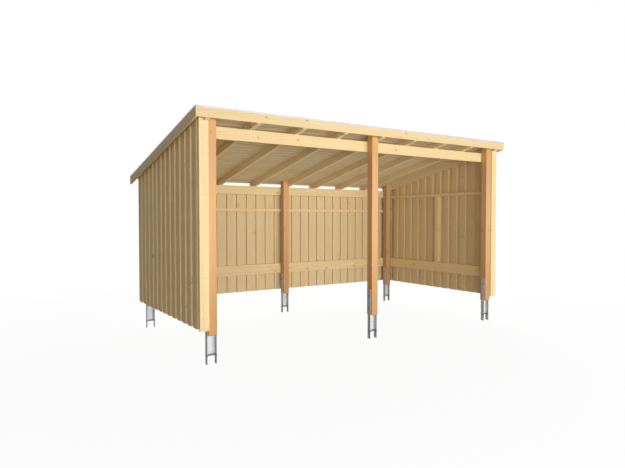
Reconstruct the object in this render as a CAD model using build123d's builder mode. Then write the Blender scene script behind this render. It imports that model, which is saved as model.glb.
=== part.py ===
from build123d import *
import math
import os

# Open-front garden shed: six timber posts on steel ground anchors, a front beam, three walls of
# vertical boards laid one over two on rails, and a board roof that falls to the rear on rafters.
# Millimetres. +Z is up, the open front faces -Y, and the origin is under the middle of the roof,
# level with the feet of the anchors.

# Posts
bay_width = 2000.0
post_width = 90.0
bay_depth = 2042.0
post_foot = 282.0
post_arris = 4.0
timber_arris = 2.0

# Ground anchors
strap_width = 50.0
strap_thickness = 5.0
strap_clearance = 8.0
strap_corner = 12.0
web_thickness = 5.0
web_foot = 92.0
bar_height = 12.0
bar_depth = 24.0

# Front beam and roof slope
beam_underside = 2173.0
beam_height = 120.0
beam_thickness = 45.0
roof_pitch = 11.8

# Rafters
rafter_gaps_per_bay = 4
rafter_width = 45.0
rafter_depth = 75.0
rafter_tail_setback = 8.0

# Roof deck of grooved boards, its felt, its boards at the edges and their metal trim
front_overhang = 89.0
rear_overhang = 60.0
side_overhang = 63.0
deck_thickness = 20.0
deck_board_cover = 95.0
deck_groove_width = 6.0
deck_groove_depth = 3.0
felt_thickness = 3.0
edge_board_height = 92.0
edge_board_thickness = 20.0
trim_thickness = 1.5
trim_lap = 2.0
trim_upstand = 10.0
trim_flange = 45.0
eave_drip = 16.0

# Wall rails and studs
rail_thickness = 45.0
top_rail_height = 120.0
thin_rail_height = 45.0
lower_rail_height = 145.0
lower_rail_underside = 588.0
rear_thin_rail_drop = 199.0
side_thin_rail_drop = 86.0
stud_width = 70.0
stud_setback = 1000.0

# Wall boards, one over two
board_width = 98.0
board_thickness = 19.0
board_pitch = 155.0
wall_underside = 342.0

# Corner boards at the open front
corner_board_width = 95.0
corner_board_thickness = 20.0
corner_board_lap = 4.0
corner_board_underside = 336.0

# Places across the shed, worked out from the sizes above
side_line = bay_width + post_width / 2
wall_line = side_line + rail_thickness
wall_face = wall_line + 2 * board_thickness
roof_side = wall_face + side_overhang
deck_side = roof_side - edge_board_thickness

# Places from front to rear, with the roof centred on the origin
walls_depth = bay_depth + post_width + rail_thickness + 2 * board_thickness
roof_length = front_overhang + walls_depth + rear_overhang
roof_front = -roof_length / 2
roof_rear = roof_length / 2
deck_front = roof_front + edge_board_thickness
front_line = roof_front + front_overhang
beam_front = front_line + post_width
beam_back = beam_front + beam_thickness
rear_post_front = front_line + bay_depth
rear_line = rear_post_front + post_width
rear_wall_line = rear_line + rail_thickness

# Heights along the roof slope: the rafters' undersides meet the beam's front top edge
slope = math.tan(math.radians(roof_pitch))
plumb_factor = 1 / math.cos(math.radians(roof_pitch))
beam_top = beam_underside + beam_height


def rafter_underside(y):
    """Height of the rafters' undersides at y."""
    return beam_top - slope * (y - beam_front)


def deck_underside(y):
    """Height of the deck's underside, where it lies on the rafters, at y."""
    return rafter_underside(y) + rafter_depth * plumb_factor


def deck_top(y):
    """Height of the deck's upper face at y."""
    return deck_underside(y) + deck_thickness * plumb_factor


def felt_top(y):
    """Height of the felt's upper face at y."""
    return deck_top(y) + felt_thickness * plumb_factor


# Heights of the rails: the thin ones hang from the roof's low edge, and the straps end below the lower one
rear_rail_top = rafter_underside(rear_line)
rear_rail_underside = rear_rail_top - top_rail_height
rear_thin_rail_top = rear_rail_underside - rear_thin_rail_drop
side_thin_rail_top = rear_rail_top - side_thin_rail_drop
side_thin_rail_underside = side_thin_rail_top - thin_rail_height
lower_rail_top = lower_rail_underside + lower_rail_height
strap_top = lower_rail_underside - strap_clearance

side_names = {"left": -1, "right": 1}


def write(builder, name):
    """Labels a finished piece and writes it to its own file."""
    builder.part.label = name
    export_step(builder.part, "parts/" + name + ".step")


def profile_along_x(points, x_low, x_high):
    """A piece with the same outline in Y and Z all along X."""
    with BuildPart() as piece:
        with BuildSketch(Plane.YZ.offset(x_low)):
            with BuildLine():
                Polyline(*points, close=True)
            make_face()
        extrude(amount=x_high - x_low)
    return piece


def eased_timber(points, x_low, x_high):
    """A timber with an outline in Y and Z, whose four long edges are eased."""
    with BuildPart() as piece:
        with BuildSketch(Plane.YZ.offset(x_low)):
            with BuildLine():
                Polyline(*points, close=True)
            make_face()
        extrude(amount=x_high - x_low)
        chamfer(piece.edges().sort_by(SortBy.LENGTH)[-4:], length=timber_arris)
    return piece


def straight_timber(x_low, x_high, y_low, y_high, z_low, z_high):
    """A square-cut timber between three pairs of planes."""
    outline = [(y_low, z_low), (y_high, z_low), (y_high, z_high), (y_low, z_high)]
    return eased_timber(outline, x_low, x_high)


def either_side(side, near, far):
    """The low and high X of a piece that lies between two distances out on one side."""
    return sorted((side * near, side * far))


def post(x, y_low):
    """A square post with eased edges, cut at its top to the slope of the deck."""
    y_high = y_low + post_width
    outline = [
        (y_low, post_foot),
        (y_high, post_foot),
        (y_high, deck_underside(y_high)),
        (y_low, deck_underside(y_low)),
    ]
    with BuildPart() as piece:
        with BuildSketch(Plane.YZ.offset(x - post_width / 2)):
            with BuildLine():
                Polyline(*outline, close=True)
            make_face()
        extrude(amount=post_width)
        chamfer(piece.edges().filter_by(Axis.Z), length=post_arris)
    return piece


def anchor(x, y_low):
    """A welded H of two straps, the web that the post stands on, and a bar along the web's foot."""
    y_middle = y_low + post_width / 2
    strap_middle = post_width / 2 + strap_thickness / 2
    web_height = post_foot - web_foot
    with BuildPart() as piece:
        for side in side_names.values():
            with BuildSketch(Plane.YZ.offset(x + side * strap_middle)):
                with Locations((y_middle, strap_top / 2)):
                    strap = Rectangle(strap_width, strap_top)
                fillet(strap.vertices().group_by(Axis.Y)[-1], radius=strap_corner)
            extrude(amount=strap_thickness / 2, both=True)
        with Locations((x, y_middle, web_foot + web_height / 2)):
            Box(post_width, web_thickness, web_height)
        with Locations((x, y_middle, web_foot - bar_height / 2)):
            Box(post_width, bar_depth, bar_height)
    return piece


def rafter(x_low, x_high):
    """A rafter with a level seat notched over the beam and another over the rear rail."""
    y_front = deck_front
    y_tail = roof_rear - rafter_tail_setback
    outline = [
        (y_front, rafter_underside(y_front)),
        (beam_front, beam_top),
        (beam_back, beam_top),
        (beam_back, rafter_underside(beam_back)),
        (rear_line, rear_rail_top),
        (rear_wall_line, rear_rail_top),
        (rear_wall_line, rafter_underside(rear_wall_line)),
        (y_tail, rafter_underside(y_tail)),
        (y_tail, deck_underside(y_tail)),
        (y_front, deck_underside(y_front)),
    ]
    return eased_timber(outline, x_low, x_high)


def board_places(start, end):
    """Middles of the inner boards, flush with both ends of a wall, and of the outer ones over their gaps."""
    run = end - start - board_width
    gaps = round(run / board_pitch)
    step = run / gaps
    inner = [start + board_width / 2 + step * count for count in range(gaps + 1)]
    outer = [middle + step / 2 for middle in inner[:-1]]
    return inner, outer


os.makedirs("parts", exist_ok=True)

# Posts and the anchors under them, in two rows of three
post_columns = {"left": -bay_width, "middle": 0.0, "right": bay_width}
post_rows = {"front": front_line, "rear": rear_post_front}
for row_name, row_front in post_rows.items():
    for column_name, column in post_columns.items():
        write(post(column, row_front), row_name + "_" + column_name + "_post")
        write(anchor(column, row_front), row_name + "_" + column_name + "_anchor")

# Front beam, fixed to the backs of the front posts
write(straight_timber(-wall_line, wall_line, beam_front, beam_back, beam_underside, beam_top), "front_beam")

# Rear rails, fixed to the backs of the rear posts
rear_rails = {
    "rear_top_rail": (rear_rail_underside, rear_rail_top),
    "rear_thin_rail": (rear_thin_rail_top - thin_rail_height, rear_thin_rail_top),
    "rear_lower_rail": (lower_rail_underside, lower_rail_top),
}
for name, (rail_low, rail_high) in rear_rails.items():
    write(straight_timber(-wall_line, wall_line, rear_line, rear_wall_line, rail_low, rail_high), name)

# Side rails and the stud between them, fixed outside the corner posts
side_rails = {
    "lower_rail": (lower_rail_underside, lower_rail_top),
    "thin_rail": (side_thin_rail_underside, side_thin_rail_top),
}
stud_front = front_line + stud_setback - stud_width / 2
stud_back = stud_front + stud_width
for side_name, side in side_names.items():
    x_low, x_high = either_side(side, side_line, wall_line)
    for name, (rail_low, rail_high) in side_rails.items():
        rail = straight_timber(x_low, x_high, front_line, rear_line, rail_low, rail_high)
        write(rail, side_name + "_" + name)
    stud = straight_timber(x_low, x_high, stud_front, stud_back, lower_rail_top, side_thin_rail_underside)
    write(stud, side_name + "_stud")

# Rafters: one outside the corner posts on each side, one beside the middle posts, the rest evenly between
end_rafter_middle = (side_line + wall_line) / 2
middle_rafter_middle = (post_width + rafter_width) / 2
left_step = (middle_rafter_middle + end_rafter_middle) / rafter_gaps_per_bay
right_step = (end_rafter_middle - middle_rafter_middle) / rafter_gaps_per_bay
rafter_middles = [left_step * count - end_rafter_middle for count in range(1, rafter_gaps_per_bay)]
rafter_middles += [middle_rafter_middle + right_step * count for count in range(rafter_gaps_per_bay)]
for count, middle in enumerate(rafter_middles):
    write(rafter(middle - rafter_width / 2, middle + rafter_width / 2), "rafter_" + str(count + 1))
for side_name, side in side_names.items():
    x_low, x_high = either_side(side, side_line, wall_line)
    write(rafter(x_low, x_high), side_name + "_end_rafter")

# Rear wall boards: a plan of overlapping boards, cut off level under the rafters' tails
rear_wall_end = wall_line + board_thickness
rear_wall_face = rear_wall_line + 2 * board_thickness
inner_places, outer_places = board_places(-rear_wall_end, rear_wall_end)
inner_y = rear_wall_line + board_thickness / 2
outer_y = rear_wall_face - board_thickness / 2
with BuildPart() as rear_wall:
    with BuildSketch(Plane.XY.offset(wall_underside)):
        with Locations(*[(x, inner_y) for x in inner_places]):
            Rectangle(board_width, board_thickness)
        with Locations(*[(x, outer_y) for x in outer_places]):
            Rectangle(board_width, board_thickness)
    extrude(amount=rafter_underside(rear_wall_face) - wall_underside)
write(rear_wall, "rear_wall_boards")

# Side wall boards: the same plan, cut at the top to the slope under the deck
inner_places, outer_places = board_places(front_line, rear_wall_line)
deck_plane = Plane(
    origin=(0, front_line, deck_underside(front_line)),
    x_dir=(1, 0, 0),
    z_dir=(0, slope, 1),
)
for side_name, side in side_names.items():
    inner_x = side * (wall_line + board_thickness / 2)
    outer_x = side * (wall_face - board_thickness / 2)
    with BuildPart() as side_wall:
        with BuildSketch(Plane.XY.offset(wall_underside)):
            with Locations(*[(inner_x, y) for y in inner_places]):
                Rectangle(board_thickness, board_width)
            with Locations(*[(outer_x, y) for y in outer_places]):
                Rectangle(board_thickness, board_width)
        extrude(amount=deck_underside(front_line) - wall_underside)
        split(bisect_by=deck_plane, keep=Keep.BOTTOM)
    write(side_wall, side_name + "_wall_boards")

# Corner boards over the front ends of the side walls, notched under the end rafters
for side_name, side in side_names.items():
    corner_board_near = side_line - corner_board_lap
    x_low, x_high = either_side(side, corner_board_near, corner_board_near + corner_board_width)
    y_low = front_line - corner_board_thickness
    outline = [
        (y_low, corner_board_underside),
        (front_line, corner_board_underside),
        (front_line, deck_underside(front_line)),
        (y_low, deck_underside(y_low)),
    ]
    notch = [
        (y_low, rafter_underside(y_low)),
        (front_line, rafter_underside(front_line)),
        (front_line, deck_underside(front_line)),
        (y_low, deck_underside(y_low)),
    ]
    notch_low, notch_high = either_side(side, corner_board_near, wall_line)
    with BuildPart() as corner_board:
        with BuildSketch(Plane.YZ.offset(x_low)):
            with BuildLine():
                Polyline(*outline, close=True)
            make_face()
        extrude(amount=x_high - x_low)
        with BuildSketch(Plane.YZ.offset(notch_low)):
            with BuildLine():
                Polyline(*notch, close=True)
            make_face()
        extrude(amount=notch_high - notch_low, mode=Mode.SUBTRACT)
        front_edges = corner_board.edges().filter_by(Axis.Z).group_by(Axis.Y)[0]
        chamfer(front_edges.sort_by(SortBy.LENGTH)[-2:], length=timber_arris)
    write(corner_board, side_name + "_corner_board")

# Roof deck, with a groove under each joint between its boards
deck_run = roof_rear - deck_front
deck_boards = round(deck_run / deck_board_cover)
deck_outline = [(deck_front, deck_top(deck_front)), (deck_front, deck_underside(deck_front))]
for count in range(1, deck_boards):
    joint = deck_front + deck_run * count / deck_boards
    groove_front = joint - deck_groove_width / 2
    groove_back = joint + deck_groove_width / 2
    deck_outline.append((groove_front, deck_underside(groove_front)))
    deck_outline.append((joint, deck_underside(joint) + deck_groove_depth))
    deck_outline.append((groove_back, deck_underside(groove_back)))
deck_outline.append((roof_rear, deck_underside(roof_rear)))
deck_outline.append((roof_rear, deck_top(roof_rear)))
write(profile_along_x(deck_outline, -deck_side, deck_side), "roof_deck")

# Fascia along the front and barge boards down both sides, level with the deck's top
fascia_outline = [
    (roof_front, deck_top(roof_front) - edge_board_height),
    (deck_front, deck_top(roof_front) - edge_board_height),
    (deck_front, deck_top(deck_front)),
    (roof_front, deck_top(roof_front)),
]
write(eased_timber(fascia_outline, -roof_side, roof_side), "front_fascia")
barge_outline = [
    (deck_front, deck_top(deck_front) - edge_board_height),
    (roof_rear, deck_top(roof_rear) - edge_board_height),
    (roof_rear, deck_top(roof_rear)),
    (deck_front, deck_top(deck_front)),
]
for side_name, side in side_names.items():
    x_low, x_high = either_side(side, deck_side, roof_side)
    write(eased_timber(barge_outline, x_low, x_high), side_name + "_barge_board")

# Felt over the whole roof
felt_outline = [
    (roof_front, deck_top(roof_front)),
    (roof_rear, deck_top(roof_rear)),
    (roof_rear, felt_top(roof_rear)),
    (roof_front, felt_top(roof_front)),
]
write(profile_along_x(felt_outline, -roof_side, roof_side), "roof_felt")

# Metal trim round the front and both sides: a flange on the felt and an upstand that laps the edge boards
trim_front = roof_front - trim_thickness
trim_rear = roof_rear + trim_thickness
trim_side = roof_side + trim_thickness
trim_rise = trim_thickness * plumb_factor
trim_inner_side = roof_side - trim_flange


def roof_slab(y_low, y_high, height_low, height_high):
    """Outline of a slab between two heights above the felt, all along the slope."""
    return [
        (y_low, felt_top(y_low) + height_low),
        (y_high, felt_top(y_high) + height_low),
        (y_high, felt_top(y_high) + height_high),
        (y_low, felt_top(y_low) + height_high),
    ]


trim_foot = -felt_thickness * plumb_factor - trim_lap
shell = roof_slab(trim_front, roof_rear, trim_foot, trim_upstand)
roof_body = roof_slab(roof_front, roof_rear, trim_foot, 0)
over_flange = roof_slab(roof_front, roof_rear, trim_rise, trim_upstand)
middle_hole = roof_slab(roof_front + trim_flange, roof_rear, 0, trim_rise)
trim_cuts = [(roof_body, roof_side), (over_flange, roof_side), (middle_hole, trim_inner_side)]
with BuildPart() as trim:
    with BuildSketch(Plane.YZ.offset(-trim_side)):
        with BuildLine():
            Polyline(*shell, close=True)
        make_face()
    extrude(amount=2 * trim_side)
    for cut, cut_side in trim_cuts:
        with BuildSketch(Plane.YZ.offset(-cut_side)):
            with BuildLine():
                Polyline(*cut, close=True)
            make_face()
        extrude(amount=2 * cut_side, mode=Mode.SUBTRACT)
write(trim, "roof_edge_trim")

# Drip trim along the rear eave, between the ends of the side trims: a flange on the felt and a leg down
eave_outline = [
    (roof_rear - trim_flange, felt_top(roof_rear - trim_flange)),
    (roof_rear, felt_top(roof_rear)),
    (roof_rear, felt_top(roof_rear) - eave_drip),
    (trim_rear, felt_top(roof_rear) - eave_drip),
    (trim_rear, felt_top(trim_rear) + trim_rise),
    (roof_rear - trim_flange, felt_top(roof_rear - trim_flange) + trim_rise),
]
write(profile_along_x(eave_outline, -trim_inner_side, trim_inner_side), "eave_trim")
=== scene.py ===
"""Open-front garden shed: timber finishes, boards, roof covering and fixings, in metres.

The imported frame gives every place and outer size. Its posts, beams, rails, rafters and edge boards
keep their shape and get a finish. Wall boards, roof boards, felt and anchors are modelled more
closely in the place of their nodes, and nails and bolts are added.
"""
import bpy
import math
import random
from mathutils import Euler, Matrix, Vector


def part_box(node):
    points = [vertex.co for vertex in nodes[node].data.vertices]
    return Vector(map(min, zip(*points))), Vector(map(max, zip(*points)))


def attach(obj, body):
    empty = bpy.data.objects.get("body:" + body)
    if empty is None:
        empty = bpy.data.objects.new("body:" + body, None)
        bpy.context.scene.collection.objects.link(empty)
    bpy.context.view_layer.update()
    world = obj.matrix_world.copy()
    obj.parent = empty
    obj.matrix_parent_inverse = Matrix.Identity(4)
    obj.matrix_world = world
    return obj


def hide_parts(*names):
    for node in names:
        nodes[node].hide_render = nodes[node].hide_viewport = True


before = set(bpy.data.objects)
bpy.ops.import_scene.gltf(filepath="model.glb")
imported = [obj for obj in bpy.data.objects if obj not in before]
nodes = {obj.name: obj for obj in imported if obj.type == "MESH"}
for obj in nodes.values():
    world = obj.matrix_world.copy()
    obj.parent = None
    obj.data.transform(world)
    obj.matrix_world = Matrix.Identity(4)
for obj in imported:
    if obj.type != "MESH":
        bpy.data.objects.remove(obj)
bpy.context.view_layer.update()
chance = random.Random(14)

# Roof slope, which falls to the rear
ROOF_PITCH = math.radians(11.8)
ROOF_SLOPE = math.tan(ROOF_PITCH)
PLUMB_FACTOR = 1 / math.cos(ROOF_PITCH)
ON_SLOPE = (-ROOF_PITCH, 0, 0)

# Directions, and the turns of a piece that is modelled facing the front
UP = Vector((0, 0, 1))
RIGHT = Vector((1, 0, 0))
REAR = Vector((0, 1, 0))
DOWN_SLOPE = Vector((0, math.cos(ROOF_PITCH), -math.sin(ROOF_PITCH)))
OFF_SLOPE = Vector((0, math.sin(ROOF_PITCH), math.cos(ROOF_PITCH)))
FACING_FRONT = (0, 0, 0)
FACING_LEFT = (0, 0, -math.pi / 2)
FACING_RIGHT = (0, 0, math.pi / 2)
FACING_REAR = (0, 0, math.pi)

# Axis numbers, and how far a face's normal points along a direction that it faces
X = 0
Z = 2
FACES_ALONG = 0.9

# Across the grain, slanted so that two neighbouring sides of a timber both show it
ACROSS_UPRIGHT = RIGHT + REAR
ACROSS_BEAM = REAR + UP
ACROSS_SIDE_RAIL = RIGHT + UP
ACROSS_RAFTER = RIGHT + OFF_SLOPE
ACROSS_SIDE_BOARD = RIGHT * 0.9 + REAR
ACROSS_REAR_BOARD = RIGHT + REAR * 0.9

# Boards of the walls and the roof
BOARD_WIDTH = 0.098
BOARD_THICKNESS = 0.019
BOARD_EASING = 0.0025
SIDE_INNER_BOARDS = 14
REAR_INNER_BOARDS = 28
DECK_BOARDS = 25
DECK_THICKNESS = 0.020
DECK_CHAMFER = 0.006
DECK_JOINT = 0.0015

# Roof felt, laid in sheets across the slope
FELT_THICKNESS = 0.003
FELT_SHEET = 0.90
FELT_LAP = 0.16
FELT_LAP_EASING = FELT_THICKNESS / 4
FELT_LAP_DROP = 0.9 * FELT_THICKNESS
FELT_EDGE_CLEARANCE = 0.048
FELT_LAPS = (1, 2)
FELT_LAP_BAND = 0.016
GRAINS_TO_METRE = 420.0

# Nails, and where they sit on the boards
NAIL_RADIUS = 0.0034
NAIL_HEIGHT = 0.0012
NAIL_SIDES = 10
NAIL_RIM = NAIL_RADIUS * 0.4
NAIL_DOME = NAIL_HEIGHT * 0.5
NAIL_SPREAD = 0.026
RAFTER_NAIL_DROP = 0.036
FASCIA_NAIL_SHARES = (0.25, 0.62)
CORNER_NAIL_INSET = 0.022
CORNER_NAIL_FOOT = 0.12
CORNER_NAIL_SPACING = 0.39
CORNER_NAIL_ROWS = 5
BARGE_NAIL_INSET = 0.1
BARGE_NAIL_ROWS = 6
BARGE_NAIL_SHARES = (0.36, 0.75)

# Welded anchors: two straps, a web at their backs under the post, and a bar along the web's foot
STRAP_THICKNESS = 0.005
STRAP_CORNER = 0.012
STRAP_CORNER_STEPS = 6
STEEL_EASING = 0.0006
WEB_THICKNESS = 0.005
WEB_FOOT = 0.092
BAR_HEIGHT = 0.012
BAR_DEPTH = 0.024
WELD_RADIUS = 0.0032
WELD_SIDES = 12

# Bolts through the anchors and their posts
BOLT_HEIGHTS = (0.345, 0.50)
BOLT_RADIUS = 0.0098
BOLT_HEAD = 0.0064
BOLT_SIDES = 6
BOLT_EASING = 0.0009
WASHER_RADIUS = 0.0125
WASHER_THICKNESS = 0.002
WASHER_SIDES = 20
WASHER_EASING = 0.0005
THREAD_RADIUS = 0.005
THREAD_END = 0.005
THREAD_SIDES = 14
THREAD_EASING = 0.0008


class Thread:
    """An output in a finish's node tree. Sums written on it add Math nodes to the tree."""

    def __init__(self, tree, socket=None):
        self.tree = tree
        self.socket = socket

    def fill(self, socket, value):
        """Links an output to a socket, or sets a plain value on it."""
        if isinstance(value, Thread):
            self.tree.links.new(value.socket, socket)
        else:
            socket.default_value = value

    def make(self, kind, settings=None, sockets=None, output=0):
        """Adds a node, sets it up, fills or links its sockets and gives back one of its outputs."""
        node = self.tree.nodes.new(kind)
        for name, value in (settings or {}).items():
            setattr(node, name, value)
        for name, value in (sockets or {}).items():
            self.fill(node.inputs[name], value)
        return Thread(self.tree, node.outputs[output])

    def feed(self, shader, **sockets):
        """Links outputs, or sets plain values, on a shader's sockets by name."""
        for name, value in sockets.items():
            self.fill(shader.inputs[name.replace("_", " ")], value)

    def math(self, operation, *values):
        return self.make("ShaderNodeMath", {"operation": operation}, dict(enumerate(values)))

    def __add__(self, other):
        return self.math("ADD", self, other)

    def __sub__(self, other):
        return self.math("SUBTRACT", self, other)

    def __mul__(self, other):
        return self.math("MULTIPLY", self, other)

    def __truediv__(self, other):
        return self.math("DIVIDE", self, other)

    def __pow__(self, other):
        return self.math("POWER", self, other)

    def __rsub__(self, other):
        return self.math("SUBTRACT", other, self)

    __radd__ = __add__
    __rmul__ = __mul__

    def unsigned(self):
        return self.math("ABSOLUTE", self)

    def fraction(self):
        return self.math("FRACT", self)

    def step(self, low, high):
        """A smooth step from 0 at low to 1 at high; low may be the larger."""
        sockets = {"Value": self, "From Min": low, "From Max": high}
        return self.make("ShaderNodeMapRange", {"interpolation_type": "SMOOTHSTEP"}, sockets)

    def dot(self, direction):
        """How far a place lies along a direction."""
        settings = {"operation": "DOT_PRODUCT"}
        return self.make("ShaderNodeVectorMath", settings, {0: self, 1: direction}, "Value")

    def length(self):
        """How far a place lies from the origin."""
        return self.make("ShaderNodeVectorMath", {"operation": "LENGTH"}, {0: self}, "Value")

    def place(self):
        """Where a point of a piece lies."""
        return self.make("ShaderNodeTexCoord", output="Object")

    def normal(self):
        """Which way a piece's surface faces."""
        return self.make("ShaderNodeTexCoord", output="Normal")

    def facing(self, direction, low=0.6, high=0.85):
        """1 where the surface faces along a direction, either way, and 0 where it faces across it."""
        return self.normal().dot(direction).unsigned().step(low, high)

    def paint(self, tone):
        """A plain colour to start from."""
        colour = self.make("ShaderNodeRGB")
        colour.socket.default_value = tone
        return colour

    def tint(self, share, other):
        """This colour, mixed towards another by a share."""
        sockets = {0: share, 6: self, 7: other}
        return self.make("ShaderNodeMix", {"data_type": "RGBA"}, sockets, 2)

    def plane(self, across, along):
        """A place on a flat pattern."""
        return self.make("ShaderNodeCombineXYZ", None, {0: across, 1: along})

    def noise(self, place, scale, detail=2.0, roughness=0.5, dimensions="3D"):
        sockets = {"Vector": place, "Scale": scale, "Detail": detail, "Roughness": roughness}
        return self.make("ShaderNodeTexNoise", {"noise_dimensions": dimensions}, sockets)

    def strands(self, width, length, across, along, detail=2.0, roughness=0.5):
        """Drawn-out noise, with so many spots to the metre across the strands and along them."""
        spots = self.plane(width * across, length * along)
        return self.noise(spots, 1.0, detail, roughness, "2D")

    def cells(self, place, scale, output, randomness=1.0, dimensions="3D"):
        """Cells about scattered points: a draw for each, its middle, or the distance from that."""
        sockets = {"Vector": place, "Scale": scale, "Randomness": randomness}
        return self.make("ShaderNodeTexVoronoi", {"voronoi_dimensions": dimensions}, sockets, output)

    def bump(self, height, strength, distance):
        """A surface raised by a height."""
        sockets = {"Strength": strength, "Distance": distance, "Height": height}
        return self.make("ShaderNodeBump", None, sockets)


def srgb(red, green, blue):
    """A colour written as it looks on screen, from 0 to 255, in the scale that the shaders use."""
    def linear(level):
        share = level / 255
        return share / 12.92 if share <= 0.04045 else ((share + 0.055) / 1.055) ** 2.4
    return (linear(red), linear(green), linear(blue), 1.0)


def new_finish(name):
    """An empty finish: its material, its shader and a thread to add nodes with."""
    finish = bpy.data.materials.new(name)
    finish.use_nodes = True
    tree = finish.node_tree
    return finish, tree.nodes["Principled BSDF"], Thread(tree)


# Tones of the timbers. A set's greyer, darker tone for some faces is painted shade
PALE_TONES = {
    "wood": srgb(243, 219, 169),
    "deep": srgb(229, 200, 146),
    "line": srgb(205, 166, 109),
    "knot": srgb(156, 114, 73),
    "painted_shade": srgb(204, 184, 146),
}
# Lighter than the pale tones, so that the rafters' undersides carry a painted highlight against their
# darkened sides
RAFTER_TONES = {
    "wood": srgb(253, 233, 189),
    "deep": srgb(237, 213, 165),
    "line": srgb(208, 175, 125),
    "knot": srgb(148, 113, 77),
    "painted_shade": srgb(204, 184, 146),
}
ROOF_TONES = {
    "wood": srgb(236, 217, 176),
    "deep": srgb(221, 198, 153),
    "line": srgb(194, 163, 116),
    "knot": srgb(148, 113, 77),
}
EDGE_TONES = {
    "wood": srgb(250, 227, 174),
    "deep": srgb(241, 214, 159),
    "line": srgb(214, 175, 117),
    "knot": srgb(160, 118, 76),
}
POST_TONES = {
    "wood": srgb(241, 191, 134),
    "deep": srgb(223, 169, 110),
    "line": srgb(197, 141, 86),
    "knot": srgb(152, 102, 61),
}
# A darker copy of the post tones: painted shade for the posts that stand in shade
SHADED_POST_TONES = {
    "wood": srgb(231, 186, 134),
    "deep": srgb(213, 164, 110),
    "line": srgb(188, 137, 86),
    "knot": srgb(146, 100, 61),
    "painted_shade": srgb(162, 146, 114),
}
POST_ENDS = srgb(194, 145, 91)
# Warmer tone on the boards' outside faces: painted warm shade
WARM_SHADE_TINT = srgb(248, 208, 136)
# Pale tone on the outer boards' front and rear edges: painted highlight
EDGE_HIGHLIGHT = srgb(255, 240, 202)

# Tones of the metals and the felt
ZINC_TONES = {
    "face": srgb(228, 229, 230),
    "crystal": srgb(203, 206, 209),
    "cloud": srgb(186, 189, 192),
    "run": srgb(170, 173, 176),
    "dark_band": srgb(98, 99, 101),
    # Darker tone for faces that look left and right: painted shade
    "strap_side_shade": srgb(146, 148, 151),
}
ALUMINIUM_TONES = {
    "face": srgb(206, 206, 219),
    "cloud": srgb(190, 191, 205),
    "drawn": srgb(176, 178, 192),
}
NAIL_TONES = {"bright": srgb(204, 189, 158), "dark": srgb(180, 164, 134)}
# Bolt heads as dark as the straps' painted side shade: painted shade
SHADED_BOLT_TONES = {"bright": srgb(146, 147, 149), "dark": srgb(124, 125, 127)}
FELT_TONES = {
    "bitumen": srgb(84, 86, 90),
    "grain": srgb(126, 127, 130),
    "glint": srgb(176, 174, 170),
    "patch": srgb(66, 67, 71),
    "wash": srgb(134, 130, 122),
    "lap_band": srgb(34, 34, 36),
}

# Softwood: how the grain is moved from board to board, its rings and its knots
BOARD_SHIFT_ALONG = 41.0
BOARD_SHIFT_ACROSS = 13.7
RINGS_TO_METRE = 95.0
RING_DRIFT = 17.0
RINGS_ROUND_KNOT = 3.0
RING_SHARPNESS = 3.0
RING_END = 0.9
LINE_LEAST = 0.22
LINE_GAIN = 0.55
END_LINE_LOSS = 0.4
KNOT_SPACING_ALONG = 0.47
KNOT_SPACING_ACROSS = 0.105
KNOT_SCATTER = 0.9
KNOT_DRAW = (0.66, 0.70)
KNOT_STRETCH = 0.62
KNOT_WOBBLE = 0.006
KNOT_WOBBLE_SCALE = 70.0
KNOT_RADIUS_LEAST = 0.0030
KNOT_RADIUS_GAIN = 0.010
KNOT_CORE = (1.15, 0.75)
KNOT_HALO = (3.6, 0.8)

# Softwood: how far each thing tints it
BOARD_SHARE = 0.55
STREAK_SHARE = 0.42
# Shares of the painted warm shade on outside faces and of the painted highlight on the outer boards' edges
WARM_SHADE_TINT_SHARE = 0.5
EDGE_HIGHLIGHT_SHARE = 0.45
HALO_SHARE = 0.25
KNOT_SHARE = 0.45
POST_KNOT_SHARE = 0.2
REAR_KNOT_SHARE = 0.33
FIBRE_SHARE = 0.16
FIBRE_FROM = 0.35
END_GRAIN_SHARE = 0.45
LAYER_FADE = 0.001

# Darker feet and heads of the posts: the heights between which they fade in, and their shares
POST_FOOT = (1.4, 0.25)
POST_FOOT_SHARE = 0.72
POST_HEAD = (1.5, 2.2)
POST_HEAD_SHARE = 0.3

# A dark band on the anchors at the height of their bars: the heights between which it fades in and out
DARK_BAND_FOOT = (0.074, 0.079)
DARK_BAND_HEAD = (0.097, 0.092)


def lay_grain(thread, along, across, separate_boards):
    """How far a point lies along and across the grain, and a draw for the tone of its timber."""
    place = thread.place()
    length = place.dot(along)
    width = place.dot(across)
    if not separate_boards:
        return length, width, thread.strands(width, length, across=0.9, along=0.12)
    board = thread.make("ShaderNodeAttribute", {"attribute_name": "board"}, output="Fac")
    length = length + board * BOARD_SHIFT_ALONG
    width = width + board * BOARD_SHIFT_ACROSS
    draw = thread.make("ShaderNodeTexWhiteNoise", {"noise_dimensions": "1D"}, {"W": board})
    return length, width, draw


def scatter_knots(thread, length, width):
    """Knots here and there in the grain: each one's dark core and the halo around it."""
    cells = thread.plane(width / KNOT_SPACING_ACROSS, length / KNOT_SPACING_ALONG)
    centre = thread.cells(cells, 1.0, "Position", randomness=KNOT_SCATTER, dimensions="2D")
    draw = thread.cells(cells, 1.0, "Color", randomness=KNOT_SCATTER, dimensions="2D")
    off_across = width - centre.dot(RIGHT) * KNOT_SPACING_ACROSS
    off_along = (length - centre.dot(REAR) * KNOT_SPACING_ALONG) * KNOT_STRETCH
    wobble = thread.noise(thread.plane(width, length), KNOT_WOBBLE_SCALE, dimensions="2D")
    reach = (off_across * off_across + off_along * off_along) ** 0.5 + (wobble - 0.5) * KNOT_WOBBLE
    size_draw = draw.dot(RIGHT)
    radius = size_draw * size_draw * KNOT_RADIUS_GAIN + KNOT_RADIUS_LEAST
    present = draw.dot(REAR).step(*KNOT_DRAW)
    core = (reach / radius).step(*KNOT_CORE) * present
    halo = (reach / radius).step(*KNOT_HALO) * present
    return core, halo


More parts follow.
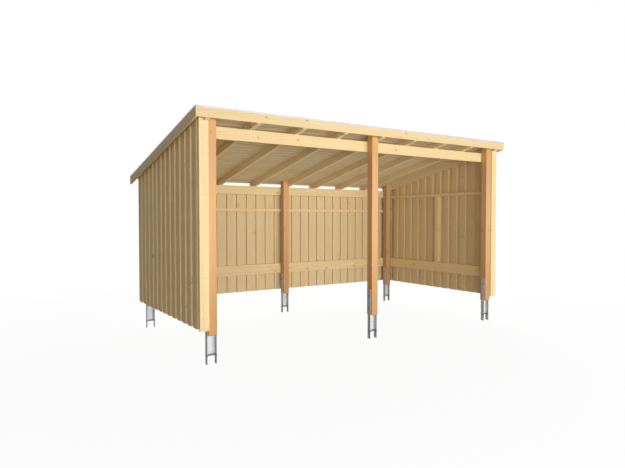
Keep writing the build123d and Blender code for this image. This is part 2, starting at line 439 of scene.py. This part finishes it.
def growth_lines(thread, length, width, knot_halo):
    """Lines of late wood along the grain, which come and go and bend round the knots."""
    drift = thread.strands(width, length, across=6.5, along=0.42, detail=1.5)
    rings = width * RINGS_TO_METRE + drift * RING_DRIFT + knot_halo * RINGS_ROUND_KNOT
    ring = rings.fraction()
    late_wood = ring ** RING_SHARPNESS * ring.step(1.0, RING_END)
    strength = thread.strands(width, length, across=11.0, along=0.3).step(0.3, 0.75)
    return late_wood * (strength * LINE_GAIN + LINE_LEAST)


def timber_finish(
    name, along, across, tones, separate_boards=False, outside=None, painted_shade=0.0, outer_layer=None,
    shaded_sides=0.0, post_ends=False, knots=KNOT_SHARE,
):
    """Planed softwood: growth lines and streaks along the grain, knots, and darker end grain.

    A wall's boards are tinted warmer on the outside, which is a direction, as painted warm shade,
    and darkened on the inside by a share as painted shade. Those that lie further out than
    outer_layer have their front and rear edges lightened as a painted highlight. The left and right
    sides of a timber are darkened by a share of their own as painted shade.
    """
    finish, shader, thread = new_finish(name)
    length, width, board_tone = lay_grain(thread, along, across, separate_boards)
    knot_core, knot_halo = scatter_knots(thread, length, width)
    cut_end = thread.facing(along, low=0.55, high=0.75)
    lines = growth_lines(thread, length, width, knot_halo) * (1 - cut_end * END_LINE_LOSS)
    streak = thread.strands(width, length, across=42.0, along=0.9, detail=3.0, roughness=0.6)
    fibre = thread.strands(width, length, across=900.0, along=14.0, roughness=0.6)

    colour = thread.paint(tones["wood"])
    colour = colour.tint(board_tone * BOARD_SHARE, tones["deep"])
    colour = colour.tint(streak.step(0.38, 0.72) * STREAK_SHARE, tones["deep"])
    if outside:
        out = thread.place().dot(outside)
        outward = thread.normal().dot(outside) * out
        # Outside faces tinted warmer: painted warm shade
        colour = colour.tint(outward.step(0.3, 0.9) * WARM_SHADE_TINT_SHARE, WARM_SHADE_TINT)
        # Inside faces darkened by a share: painted shade
        colour = colour.tint(outward.step(-0.3, -0.9) * painted_shade, tones["painted_shade"])
        if outer_layer:
            layer = out.unsigned().step(outer_layer - LAYER_FADE, outer_layer + LAYER_FADE)
            # Outer boards' front and rear edges lightened: painted highlight
            colour = colour.tint(thread.facing(REAR) * layer * EDGE_HIGHLIGHT_SHARE, EDGE_HIGHLIGHT)
    # Faces that look left and right darkened by a share: painted shade
    if shaded_sides:
        colour = colour.tint(thread.facing(RIGHT) * shaded_sides, tones["painted_shade"])
    if post_ends:
        foot = length.step(*POST_FOOT) * POST_FOOT_SHARE
        head = length.step(*POST_HEAD) * POST_HEAD_SHARE
        colour = colour.tint(foot + head, POST_ENDS)
    colour = colour.tint(lines, tones["line"])
    colour = colour.tint(knot_halo * HALO_SHARE, tones["line"])
    colour = colour.tint(knot_core * knots, tones["knot"])
    colour = colour.tint((fibre - FIBRE_FROM) * FIBRE_SHARE, tones["line"])
    colour = colour.tint(cut_end * END_GRAIN_SHARE, tones["line"])

    roughness = 0.56 + fibre * 0.14 + cut_end * 0.15 - knot_core * 0.1
    height = lines * -0.35 + fibre * 0.25 - knot_core * 0.3
    bump = thread.bump(height, strength=0.22, distance=0.0012)
    thread.feed(shader, Base_Color=colour, Roughness=roughness, Normal=bump, Specular_IOR_Level=0.28)
    return finish


def galvanised_finish():
    """Hot-dip zinc: dull pale grey with faint crystals, runs down the length and a dark band at the height
    of the bars; faces that look left and right are darkened as painted shade.
    """
    finish, shader, thread = new_finish("galvanised_steel")
    place = thread.place()
    height = place.dot(UP)
    crystal = thread.cells(place, 130.0, "Color").dot(RIGHT)
    cloud = thread.noise(place, 16.0, detail=3.0)
    run = thread.strands(place.dot(ACROSS_UPRIGHT), height, across=55.0, along=3.0)
    dark_band = height.step(*DARK_BAND_FOOT) * height.step(*DARK_BAND_HEAD)
    colour = thread.paint(ZINC_TONES["face"])
    colour = colour.tint(crystal * 0.4, ZINC_TONES["crystal"])
    colour = colour.tint(cloud.step(0.4, 0.8) * 0.35, ZINC_TONES["cloud"])
    colour = colour.tint(run.step(0.55, 0.8) * 0.25, ZINC_TONES["run"])
    # A dark band at the height of the anchors' bars
    colour = colour.tint(dark_band * 0.88, ZINC_TONES["dark_band"])
    # Faces that look left and right, the straps' flat sides, darkened: painted shade
    colour = colour.tint(thread.facing(RIGHT) * 0.6, ZINC_TONES["strap_side_shade"])
    roughness = 0.55 + cloud * 0.2 - crystal * 0.12
    bump = thread.bump(cloud, strength=0.12, distance=0.0004)
    thread.feed(shader, Base_Color=colour, Roughness=roughness, Normal=bump)
    thread.feed(shader, Metallic=0.1, Specular_IOR_Level=0.25)
    return finish


def dull_steel_finish(name, tones):
    """Nail and bolt heads, each a little different: the nails dulled by the weather, the bolts given
    darker tones as painted shade.
    """
    finish, shader, thread = new_finish(name)
    cloud = thread.noise(thread.place(), 90.0)
    colour = thread.paint(tones["bright"]).tint(cloud.step(0.35, 0.7) * 0.6, tones["dark"])
    thread.feed(shader, Base_Color=colour, Roughness=0.55, Metallic=0.1, Specular_IOR_Level=0.3)
    return finish


def aluminium_finish():
    """Mill aluminium, faintly drawn along its length."""
    finish, shader, thread = new_finish("mill_aluminium")
    place = thread.place()
    drawn = thread.strands(place.dot(ACROSS_BEAM), place.dot(RIGHT), across=700.0, along=3.0)
    cloud = thread.noise(place, 5.0, detail=3.0)
    colour = thread.paint(ALUMINIUM_TONES["face"])
    colour = colour.tint(cloud.step(0.35, 0.75) * 0.5, ALUMINIUM_TONES["cloud"])
    colour = colour.tint((drawn - 0.3) * 0.3, ALUMINIUM_TONES["drawn"])
    roughness = 0.38 + drawn * 0.16
    thread.feed(shader, Base_Color=colour, Roughness=roughness, Metallic=0.15)
    return finish


def lap_edge(count):
    """How far to the rear the lower edge of a sheet of felt lies, counted up from the eave."""
    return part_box("roof_felt")[1].y - FELT_SHEET * count / PLUMB_FACTOR


def felt_finish():
    """Bitumen felt with mineral grains, paler where the grains lie thick, and dark below the laps."""
    finish, shader, thread = new_finish("mineral_felt")
    place = thread.place()
    grain = thread.cells(place, GRAINS_TO_METRE, "Color").dot(RIGHT)
    grain_shape = thread.cells(place, GRAINS_TO_METRE, "Distance")
    patch = thread.noise(place, 3.2, detail=4.0, roughness=0.6)
    wash = thread.strands(place.dot(RIGHT), place.dot(REAR), across=9.0, along=0.9, detail=3.0)
    colour = thread.paint(FELT_TONES["bitumen"])
    colour = colour.tint(grain * 0.75, FELT_TONES["grain"])
    colour = colour.tint(grain.step(0.86, 0.9) * 0.6, FELT_TONES["glint"])
    colour = colour.tint(patch.step(0.42, 0.72) * 0.4, FELT_TONES["patch"])
    colour = colour.tint(wash.step(0.5, 0.8) * 0.22, FELT_TONES["wash"])
    # A dark ragged band just below each lap's edge
    for count in FELT_LAPS:
        past_lap = place.dot(REAR) - lap_edge(count)
        ragged = past_lap + (thread.noise(place, 26.0) - 0.5) * FELT_LAP_BAND
        lap_band = ragged.step(FELT_LAP_BAND, FELT_LAP_BAND * 0.6) * past_lap.step(-0.002, 0.0)
        colour = colour.tint(lap_band * 0.85, FELT_TONES["lap_band"])
    bump = thread.bump(1 - grain_shape, strength=0.6, distance=0.0015)
    thread.feed(shader, Base_Color=colour, Roughness=0.93, Normal=bump, Specular_IOR_Level=0.25)
    return finish


def deselect_all():
    bpy.ops.object.select_all(action="DESELECT")


def pick_piece(piece):
    """Selects one piece alone."""
    deselect_all()
    piece.select_set(True)
    bpy.context.view_layer.objects.active = piece


def clear_mesh_selection(kind):
    """Leaves nothing selected in the mesh at hand, before its edges or faces are picked."""
    bpy.ops.object.mode_set(mode="EDIT")
    bpy.ops.mesh.select_mode(type=kind)
    bpy.ops.mesh.select_all(action="DESELECT")
    bpy.ops.object.mode_set(mode="OBJECT")


def pick_edges(piece, wanted):
    """Goes into edit mode with only the edges selected whose two ends pass a test."""
    clear_mesh_selection("EDGE")
    for edge in piece.data.edges:
        first, second = (piece.data.vertices[index].co for index in edge.vertices)
        edge.select = wanted(first, second)
    bpy.ops.object.mode_set(mode="EDIT")


def pick_faces(piece, wanted):
    """Goes into edit mode with only the faces selected whose centre and normal pass a test."""
    clear_mesh_selection("FACE")
    for face in piece.data.polygons:
        face.select = wanted(face.center, face.normal)
    bpy.ops.object.mode_set(mode="EDIT")


def leave_edit():
    bpy.ops.object.mode_set(mode="OBJECT")


def ease(offset, steps=2):
    """Rounds off what is picked, in a number of steps, and leaves edit mode."""
    bpy.ops.mesh.bevel(offset=offset, segments=steps, affect="EDGES")
    leave_edit()


def runs_along(axis, size, first, second):
    """Whether the edge between two points is a long one of a block, along an axis."""
    return abs(first[axis] - second[axis]) > size[axis] / 2


def sawn_block(size, middle=(0.0, 0.0, 0.0)):
    """A square block about a point, scaled to its size, ready to shape."""
    deselect_all()
    bpy.ops.mesh.primitive_cube_add(size=1.0, location=middle, scale=size)
    bpy.ops.object.transform_apply(location=True, rotation=True, scale=True)
    return bpy.context.object


def cut_bar(radius, depth, sides, along, middle=(0.0, 0.0, 0.0)):
    """A length of round or six-sided bar about a point, ready to shape."""
    deselect_all()
    bpy.ops.mesh.primitive_cylinder_add(
        vertices=sides, radius=radius, depth=depth,
        location=middle, rotation=UP.rotation_difference(along).to_euler(),
    )
    bpy.ops.object.transform_apply(location=True, rotation=True, scale=True)
    return bpy.context.object


def copy_at(pattern, place, turn=(0.0, 0.0, 0.0)):
    """A copy with its own mesh, set at a place and turned."""
    copy = pattern.copy()
    copy.data = pattern.data.copy()
    bpy.context.scene.collection.objects.link(copy)
    copy.location = place
    copy.rotation_euler = Euler(turn)
    return copy


def number_board(board):
    """Gives a board a number of its own, from which its grain and tone are drawn."""
    mark = board.data.attributes.new("board", "FLOAT", "FACE")
    mark.data.foreach_set("value", [chance.random()] * len(board.data.polygons))


def join(pieces):
    """Joins pieces into the first of them."""
    deselect_all()
    for piece in pieces:
        piece.select_set(True)
    bpy.context.view_layer.objects.active = pieces[0]
    bpy.ops.object.join()
    return bpy.context.object


def settle(piece, name):
    """Names a piece, and puts its place into its mesh so that its object sits at the origin."""
    pick_piece(piece)
    bpy.ops.object.transform_apply(location=True, rotation=True, scale=True)
    piece.name = name
    piece.data.name = name
    return piece


def join_as(name, pieces, pattern):
    """Joins copies into one piece at the origin, and takes their pattern away."""
    bpy.data.objects.remove(pattern)
    return settle(join(pieces), name)


def fit(piece, finish, replaced=None):
    """Gives a piece its finish and its body, and hides the node that it stands in for."""
    piece.data.materials.clear()
    piece.data.materials.append(finish)
    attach(piece, "root")
    if replaced:
        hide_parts(replaced)


def board_middles(low, high, count):
    """Middles of the inner boards, flush with both ends of a wall, and of the outer ones between."""
    step = (high - low - BOARD_WIDTH) / (count - 1)
    inner = [low + BOARD_WIDTH / 2 + step * place for place in range(count)]
    outer = [middle + step / 2 for middle in inner[:-1]]
    return inner, outer


def upright_boards(name, size, places):
    """Lays numbered copies of one upright board with eased edges at the places given, as one piece."""
    pattern = sawn_block(size)
    pick_edges(pattern, lambda first, second: runs_along(Z, size, first, second))
    ease(BOARD_EASING)
    boards = [copy_at(pattern, place) for place in places]
    for board in boards:
        number_board(board)
    return join_as(name, boards, pattern)


def cut_away(piece, point, outward):
    """Saws a piece off at a plane and closes the cut."""
    pick_piece(piece)
    bpy.ops.object.mode_set(mode="EDIT")
    bpy.ops.mesh.select_all(action="SELECT")
    bpy.ops.mesh.bisect(plane_co=point, plane_no=outward, use_fill=True, clear_outer=True)
    leave_edit()


def side_wall(side, outward):
    """One side wall's boards, cut at the top to the slope under the deck."""
    low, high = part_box(side + "_wall_boards")
    middle_z = (low.z + high.z) / 2
    inner_x = (low.x + high.x) / 2 - outward * BOARD_THICKNESS / 2
    outer_x = (low.x + high.x) / 2 + outward * BOARD_THICKNESS / 2
    inner, outer = board_middles(low.y, high.y, SIDE_INNER_BOARDS)
    places = [(inner_x, y, middle_z) for y in inner] + [(outer_x, y, middle_z) for y in outer]
    size = (BOARD_THICKNESS, BOARD_WIDTH, high.z - low.z)
    wall = upright_boards(side + "_wall_cladding", size, places)
    cut_away(wall, (0, low.y, high.z), OFF_SLOPE)
    return wall


def rear_wall():
    """The rear wall's boards, all of one height."""
    low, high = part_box("rear_wall_boards")
    middle_z = (low.z + high.z) / 2
    inner_y = low.y + BOARD_THICKNESS / 2
    outer_y = high.y - BOARD_THICKNESS / 2
    inner, outer = board_middles(low.x, high.x, REAR_INNER_BOARDS)
    places = [(x, inner_y, middle_z) for x in inner] + [(x, outer_y, middle_z) for x in outer]
    size = (BOARD_WIDTH, BOARD_THICKNESS, high.z - low.z)
    return upright_boards("rear_wall_cladding", size, places)


def roof_boards():
    """The roof's boards, chamfered underneath where they meet, down the slope from the fascia."""
    low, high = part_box("roof_deck")
    cover = (high.y - low.y) / DECK_BOARDS
    size = (high.x - low.x, cover * PLUMB_FACTOR - DECK_JOINT, DECK_THICKNESS)
    pattern = sawn_block(size)
    pick_edges(pattern, lambda first, second: runs_along(X, size, first, second) and first.z < 0)
    ease(DECK_CHAMFER, 1)
    boards = []
    for count in range(DECK_BOARDS):
        y = low.y + cover * (count + 0.5)
        z = low.z + (high.y - y) * ROOF_SLOPE + DECK_THICKNESS / 2 * PLUMB_FACTOR
        board = copy_at(pattern, (0, y, z), ON_SLOPE)
        number_board(board)
        boards.append(board)
    deck = join_as("roof_boards", boards, pattern)
    cut_away(deck, (0, high.y, 0), REAR)
    return deck


def felt_lap(width):
    """A strip where one sheet of felt lies over the next, eased on top, its upper edge pressed down."""
    lap = sawn_block((width, FELT_LAP, FELT_THICKNESS))
    pick_faces(lap, lambda centre, normal: normal.z > FACES_ALONG)
    ease(FELT_LAP_EASING)
    upper_edge = -FELT_LAP / 2 + FELT_THICKNESS
    pick_edges(lap, lambda first, second: max(first.y, second.y) < upper_edge)
    bpy.ops.transform.translate(value=(0, 0, -FELT_LAP_DROP))
    leave_edit()
    return lap


def felt_sheets():
    """Felt over the whole roof: a bed on the deck, and the laps of its sheets."""
    low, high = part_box("roof_felt")
    width = high.x - low.x
    bed_rear = low.z + FELT_THICKNESS / 2 * PLUMB_FACTOR
    bed = sawn_block((width, (high.y - low.y) * PLUMB_FACTOR, FELT_THICKNESS))
    bed_y = (low.y + high.y) / 2
    sheets = [copy_at(bed, (0, bed_y, bed_rear + (high.y - bed_y) * ROOF_SLOPE), ON_SLOPE)]
    lap = felt_lap(width - 2 * FELT_EDGE_CLEARANCE)
    for count in FELT_LAPS:
        y = lap_edge(count) - FELT_LAP / 2
        z = bed_rear + (high.y - y) * ROOF_SLOPE + FELT_THICKNESS * PLUMB_FACTOR
        sheets.append(copy_at(lap, (0, y, z), ON_SLOPE))
    bpy.data.objects.remove(lap)
    return join_as("roof_felt_sheets", sheets, bed)


def nail_pattern():
    """A round nail head with a low dome, facing the front."""
    nail = cut_bar(NAIL_RADIUS, 2 * NAIL_HEIGHT, NAIL_SIDES, -REAR)
    pick_faces(nail, lambda centre, normal: normal.y < -FACES_ALONG)
    bpy.ops.mesh.inset(thickness=NAIL_RIM)
    bpy.ops.transform.translate(value=(0, -NAIL_DOME, 0))
    leave_edit()
    return nail


def middle_height(node):
    low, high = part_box(node)
    return (low.z + high.z) / 2


def side_wall_nails(side, outward):
    """Places of the nails through one side wall into its two rails and the end rafter."""
    low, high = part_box(side + "_wall_boards")
    inner, outer = board_middles(low.y, high.y, SIDE_INNER_BOARDS)
    outer_face = high.x if outward > 0 else low.x
    inner_face = outer_face - outward * BOARD_THICKNESS
    rails = [middle_height(side + "_lower_rail"), middle_height(side + "_thin_rail")]

    def heights(y):
        return rails + [high.z - (y - low.y) * ROOF_SLOPE - RAFTER_NAIL_DROP]

    places = [(inner_face, y, z) for y in inner for z in heights(y)]
    for middle in outer:
        for y in (middle - NAIL_SPREAD, middle + NAIL_SPREAD):
            places += [(outer_face, y, z) for z in heights(y)]
    return places


def rear_wall_nails():
    """Places of the nails through the rear wall into its three rails."""
    low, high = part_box("rear_wall_boards")
    inner, outer = board_middles(low.x, high.x, REAR_INNER_BOARDS)
    rails = [middle_height(node) for node in ("rear_lower_rail", "rear_thin_rail", "rear_top_rail")]
    inner_face = low.y + BOARD_THICKNESS
    places = [(x, inner_face, z) for x in inner for z in rails]
    for middle in outer:
        for x in (middle - NAIL_SPREAD, middle + NAIL_SPREAD):
            places += [(x, high.y, z) for z in rails]
    return places


def fascia_nails():
    """Places of the nails through the fascia into the ends of the rafters."""
    low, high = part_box("front_fascia")
    places = []
    for rafter in nodes:
        if "rafter" in rafter:
            rafter_low, rafter_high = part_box(rafter)
            x = (rafter_low.x + rafter_high.x) / 2
            places += [(x, low.y, low.z + share * (high.z - low.z)) for share in FASCIA_NAIL_SHARES]
    return places


def corner_nails(side):
    """Places of the nails up a corner board, in pairs."""
    low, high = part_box(side + "_corner_board")
    places = []
    for row in range(CORNER_NAIL_ROWS):
        z = low.z + CORNER_NAIL_FOOT + CORNER_NAIL_SPACING * row
        places += [(low.x + CORNER_NAIL_INSET, low.y, z), (high.x - CORNER_NAIL_INSET, low.y, z)]
    return places


def barge_nails(side, outward):
    """Places of the nails along a barge board, in pairs."""
    low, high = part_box(side + "_barge_board")
    face = high.x if outward > 0 else low.x
    height = high.z - low.z - (high.y - low.y) * ROOF_SLOPE
    reach = high.y - low.y - 2 * BARGE_NAIL_INSET
    places = []
    for row in range(BARGE_NAIL_ROWS):
        y = low.y + BARGE_NAIL_INSET + reach * row / (BARGE_NAIL_ROWS - 1)
        top = high.z - (y - low.y) * ROOF_SLOPE
        places += [(face, y, top - height * share) for share in BARGE_NAIL_SHARES]
    return places


def drive_nails(name, nailed):
    """Nail heads at lists of places, each list with the way that its nails face, as one piece."""
    pattern = nail_pattern()
    nails = []
    for facing, places in nailed:
        nails += [copy_at(pattern, place, facing) for place in places]
    return join_as(name, nails, pattern)


def eased_bar(radius, middle, along, depth, sides, easing):
    """A length of round or six-sided steel about a point, with the rims of both ends eased."""
    bar = cut_bar(radius, depth, sides, along, middle)
    pick_faces(bar, lambda centre, normal: abs(normal.dot(along)) > FACES_ALONG)
    ease(easing)
    return bar


def anchor_strap(size, middle):
    """One flat strap of an anchor, with round upper corners and its sharp edges taken off."""
    strap = sawn_block(size, middle)
    top = middle[Z] + size[Z] / 2 - STEEL_EASING

    def upper_corner(first, second):
        return min(first.z, second.z) > top and runs_along(X, size, first, second)

    pick_edges(strap, upper_corner)
    ease(STRAP_CORNER, STRAP_CORNER_STEPS)
    pick_faces(strap, lambda centre, normal: abs(normal.x) > FACES_ALONG)
    ease(STEEL_EASING)
    return strap


def anchor_plate(size, middle):
    """A flat piece between an anchor's straps, eased along its length."""
    plate = sawn_block(size, middle)
    pick_edges(plate, lambda first, second: runs_along(X, size, first, second))
    ease(STEEL_EASING)
    return plate


def welded_anchor():
    """One anchor about the upright axis of its post: straps, web, foot bar and the web's welds."""
    low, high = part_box("front_middle_anchor")
    width, depth, height = high - low
    post_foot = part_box("front_middle_post")[0].z
    web_height = post_foot - WEB_FOOT
    web_middle = WEB_FOOT + web_height / 2
    inner_width = width - 2 * STRAP_THICKNESS
    back = depth / 2
    web_size = (inner_width, WEB_THICKNESS, web_height)
    bar_size = (inner_width, BAR_DEPTH, BAR_HEIGHT)
    strap_size = (STRAP_THICKNESS, depth, height)
    strap_x = (width - STRAP_THICKNESS) / 2
    weld_length = web_height - 2 * WELD_RADIUS
    parts = [
        anchor_plate(web_size, (0, back - WEB_THICKNESS / 2, web_middle)),
        anchor_plate(bar_size, (0, back - BAR_DEPTH / 2, WEB_FOOT - BAR_HEIGHT / 2)),
    ]
    for side in (-1, 1):
        parts.append(anchor_strap(strap_size, (side * strap_x, 0, height / 2)))
        weld_middle = (side * inner_width / 2, back - WEB_THICKNESS, web_middle)
        weld = eased_bar(WELD_RADIUS, weld_middle, UP, weld_length, WELD_SIDES, WELD_RADIUS / 2)
        parts.append(weld)
    return join(parts)


def bolt_set():
    """A bolt along X through an anchor and its post: hexagon head, washers, nut and the thread's end."""
    low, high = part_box("front_middle_anchor")
    reach = (high.x - low.x) / 2
    washer_x = reach + WASHER_THICKNESS / 2
    head_x = reach + WASHER_THICKNESS + BOLT_HEAD / 2
    end_x = -reach - WASHER_THICKNESS - BOLT_HEAD - THREAD_END / 2

    def turned(radius, x, depth, sides, easing):
        return eased_bar(radius, (x, 0, 0), RIGHT, depth, sides, easing)

    parts = [turned(THREAD_RADIUS, end_x, THREAD_END, THREAD_SIDES, THREAD_EASING)]
    for side in (-1, 1):
        parts.append(turned(WASHER_RADIUS, side * washer_x, WASHER_THICKNESS, WASHER_SIDES, WASHER_EASING))
        parts.append(turned(BOLT_RADIUS, side * head_x, BOLT_HEAD, BOLT_SIDES, BOLT_EASING))
    return join(parts)


def anchor_feet():
    """The point on the floor under the middle of each anchor's node."""
    feet = {}
    for node in nodes:
        if node.endswith("_anchor"):
            low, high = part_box(node)
            feet[node] = Vector(((low.x + high.x) / 2, (low.y + high.y) / 2, low.z))
    return feet


def anchors():
    """A welded anchor in the place of each anchor's node, as pieces of their own."""
    pattern = welded_anchor()
    pieces = {}
    for node, foot in anchor_feet().items():
        pieces[node] = settle(copy_at(pattern, foot), node + "_steel")
    bpy.data.objects.remove(pattern)
    return pieces


def anchor_bolts():
    """Two bolts through each anchor's straps."""
    pattern = bolt_set()
    bolts = []
    for foot in anchor_feet().values():
        bolts += [copy_at(pattern, foot + UP * height) for height in BOLT_HEIGHTS]
    return join_as("anchor_bolts", bolts, pattern)


# Finishes, by which way the grain runs
post_wood = timber_finish(
    "post_wood", UP, ACROSS_UPRIGHT, POST_TONES, post_ends=True, knots=POST_KNOT_SHARE
)
# The front right and rear posts take the darker tones as painted shade; the rear posts' left and right
# faces are darkened further as painted shade
right_post_wood = timber_finish(
    "right_post_wood", UP, ACROSS_UPRIGHT, SHADED_POST_TONES, post_ends=True, knots=POST_KNOT_SHARE
)
rear_post_wood = timber_finish(
    "rear_post_wood", UP, ACROSS_UPRIGHT, SHADED_POST_TONES,
    shaded_sides=0.55, post_ends=True, knots=POST_KNOT_SHARE,
)
beam_wood = timber_finish("beam_wood", RIGHT, ACROSS_BEAM, PALE_TONES)
side_rail_wood = timber_finish("side_rail_wood", REAR, ACROSS_SIDE_RAIL, PALE_TONES)
upright_wood = timber_finish("upright_wood", UP, ACROSS_UPRIGHT, PALE_TONES)
corner_wood = timber_finish("corner_wood", UP, ACROSS_UPRIGHT, EDGE_TONES)
# Rafters: lighter tones as a painted highlight on the undersides, left and right faces darkened as painted
# shade
rafter_wood = timber_finish("rafter_wood", DOWN_SLOPE, ACROSS_RAFTER, RAFTER_TONES, shaded_sides=0.38)
barge_wood = timber_finish("barge_wood", DOWN_SLOPE, ACROSS_RAFTER, PALE_TONES)
# Side boards: outside faces a painted warm shade, inside faces darkened as painted shade, outer boards'
# front and rear edges a painted highlight
side_low, side_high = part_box("right_wall_boards")
side_board_wood = timber_finish(
    "side_board_wood", UP, ACROSS_SIDE_BOARD, PALE_TONES, separate_boards=True,
    outside=RIGHT, painted_shade=0.45, outer_layer=(side_low.x + side_high.x) / 2,
)
# Rear boards: inside faces and faces that look left and right darkened as painted shade, outside faces a
# painted warm shade
rear_board_wood = timber_finish(
    "rear_board_wood", UP, ACROSS_REAR_BOARD, PALE_TONES, separate_boards=True,
    outside=REAR, painted_shade=0.3, shaded_sides=0.9, knots=REAR_KNOT_SHARE,
)
roof_board_wood = timber_finish(
    "roof_board_wood", RIGHT, DOWN_SLOPE, ROOF_TONES, separate_boards=True
)
zinc = galvanised_finish()
aluminium = aluminium_finish()
felt = felt_finish()
nail_steel = dull_steel_finish("dull_nail_steel", NAIL_TONES)
bolt_steel = dull_steel_finish("shaded_bolt_steel", SHADED_BOLT_TONES)

# A node takes the finish of the longest ending that its name has, and is a rafter where it has none
finish_by_ending = {
    "_post": post_wood,
    "front_right_post": right_post_wood,
    "rear_left_post": rear_post_wood,
    "rear_middle_post": rear_post_wood,
    "rear_right_post": rear_post_wood,
    "_anchor": zinc,
    "front_beam": beam_wood,
    "rear_top_rail": beam_wood,
    "rear_thin_rail": beam_wood,
    "rear_lower_rail": beam_wood,
    "front_fascia": beam_wood,
    "_lower_rail": side_rail_wood,
    "_thin_rail": side_rail_wood,
    "_stud": upright_wood,
    "_corner_board": corner_wood,
    "_barge_board": barge_wood,
    "_trim": aluminium,
    "roof_felt": felt,
    "roof_deck": roof_board_wood,
    "rear_wall_boards": rear_board_wood,
    "_wall_boards": side_board_wood,
}
for name, node in nodes.items():
    endings = [ending for ending in finish_by_ending if name.endswith(ending)]
    finish = finish_by_ending[max(endings, key=len)] if endings else rafter_wood
    node.data.materials.clear()
    node.data.materials.append(finish)

# Walls, roof and fixings
fit(side_wall("left", -1), side_board_wood, "left_wall_boards")
fit(side_wall("right", 1), side_board_wood, "right_wall_boards")
fit(rear_wall(), rear_board_wood, "rear_wall_boards")
fit(roof_boards(), roof_board_wood, "roof_deck")
fit(felt_sheets(), felt, "roof_felt")
wall_nails = [
    (FACING_LEFT, side_wall_nails("left", -1)),
    (FACING_RIGHT, side_wall_nails("right", 1)),
    (FACING_REAR, rear_wall_nails()),
]
fit(drive_nails("wall_nails", wall_nails), nail_steel)
edge_nails = [
    (FACING_FRONT, fascia_nails() + corner_nails("left") + corner_nails("right")),
    (FACING_LEFT, barge_nails("left", -1)),
    (FACING_RIGHT, barge_nails("right", 1)),
]
fit(drive_nails("edge_nails", edge_nails), nail_steel)
for node, piece in anchors().items():
    fit(piece, zinc, node)
fit(anchor_bolts(), bolt_steel)

# Floor and sky
WHITE = (1, 1, 1, 1)
FLOOR_SIZE = 60.0
FLOOR_DROP = 0.0005
FLOOR_SHADOW_REACH = 3.0
FLOOR_WHITE_FROM = 7.0
FLOOR_GLOW_SHARE = 0.95
FLOOR_GREY = (0.42, 0.42, 0.42, 1)
SKY_LIGHT = 0.085
SKY_WARMTH = (1, 0.95, 0.88, 1)


def seen_ray(thread):
    """1 on a ray from the camera, a mirror or glass, and 0 on the light that falls on the shed."""
    seen = thread.make("ShaderNodeLightPath", output="Is Camera Ray")
    for kind in ("Is Glossy Ray", "Is Transmission Ray"):
        seen = seen.math("MAXIMUM", seen, thread.make("ShaderNodeLightPath", output=kind))
    return seen


def lay_floor():
    """A pale floor, seen as white apart from the shed's shadow."""
    deselect_all()
    bpy.ops.mesh.primitive_plane_add(size=FLOOR_SIZE, location=(0, 0, -FLOOR_DROP))
    floor = bpy.context.object
    floor.name = "floor"
    floor_paint, shader, thread = new_finish("floor_paint")
    seen = seen_ray(thread)
    colour = thread.paint(FLOOR_GREY).tint(seen, WHITE)
    thread.feed(shader, Base_Color=colour, Roughness=0.9, Specular_IOR_Level=0.1)
    past_shadow = thread.place().length().step(FLOOR_SHADOW_REACH, FLOOR_WHITE_FROM)
    whiteness = past_shadow * (1 - FLOOR_GLOW_SHARE) + FLOOR_GLOW_SHARE
    plain = Thread(thread.tree, shader.outputs[0])
    glow = thread.make("ShaderNodeEmission", None, {"Color": WHITE, "Strength": 1.0})
    surface = thread.make("ShaderNodeMixShader", None, {0: seen * whiteness, 1: plain, 2: glow})
    thread.feed(thread.tree.nodes["Material Output"], Surface=surface)
    floor.data.materials.append(floor_paint)


def hang_sky():
    """A sky that is white where it is seen, and a soft even light elsewhere."""
    sky = bpy.data.worlds.new("sky")
    bpy.context.scene.world = sky
    sky.use_nodes = True
    thread = Thread(sky.node_tree)
    seen = seen_ray(thread)
    colour = thread.paint(SKY_WARMTH).tint(seen, WHITE)
    strength = seen * (1 - SKY_LIGHT) + SKY_LIGHT
    thread.feed(sky.node_tree.nodes["Background"], Color=colour, Strength=strength)


lay_floor()
hang_sky()

# Lamps
SOFT_BOXES = {
    "key_softbox": {
        "place": (1.6, -8.7, 1.5), "aim": (0.0, -0.5, 1.2), "size": (7.0, 3.0), "power": 480.0,
    },
    "fill_softbox": {
        "place": (-4.9, -8.9, 1.5), "aim": (0.0, 0.0, 1.1), "size": (5.0, 3.0), "power": 285.0,
    },
    "rear_softbox": {
        "place": (7.0, 8.0, 6.0), "aim": (0.0, 0.0, 1.3), "size": (7.0, 4.0), "power": 1400.0,
    },
}


def soft_box(name, place, aim, size, power):
    """A large rectangular studio lamp at a place, turned towards a point."""
    data = bpy.data.lights.new(name, "AREA")
    data.shape = "RECTANGLE"
    data.size, data.size_y = size
    data.energy = power
    lamp = bpy.data.objects.new(name, data)
    bpy.context.scene.collection.objects.link(lamp)
    lamp.location = place
    lamp.rotation_euler = (Vector(aim) - Vector(place)).to_track_quat("-Z", "Y").to_euler()


for name, settings in SOFT_BOXES.items():
    soft_box(name, **settings)

# Camera at the photograph's viewing angle
IMAGE_WIDTH = 625.0
FOCAL_PIXELS = 523.776
SENSOR_WIDTH = 36.0
CAMERA_PLACE = (-3.9162, -5.7813, 1.404)
CAMERA_DIP = math.radians(1.72)
CAMERA_TURN = -0.577
camera_data = bpy.data.cameras.new("camera")
camera_data.sensor_width = SENSOR_WIDTH
camera_data.lens = FOCAL_PIXELS / IMAGE_WIDTH * SENSOR_WIDTH
camera = bpy.data.objects.new("camera", camera_data)
bpy.context.scene.collection.objects.link(camera)
camera.location = CAMERA_PLACE
camera.rotation_euler = Euler((math.pi / 2 - CAMERA_DIP, 0, CAMERA_TURN))
bpy.context.scene.camera = camera
bpy.context.scene.view_settings.view_transform = "Standard"
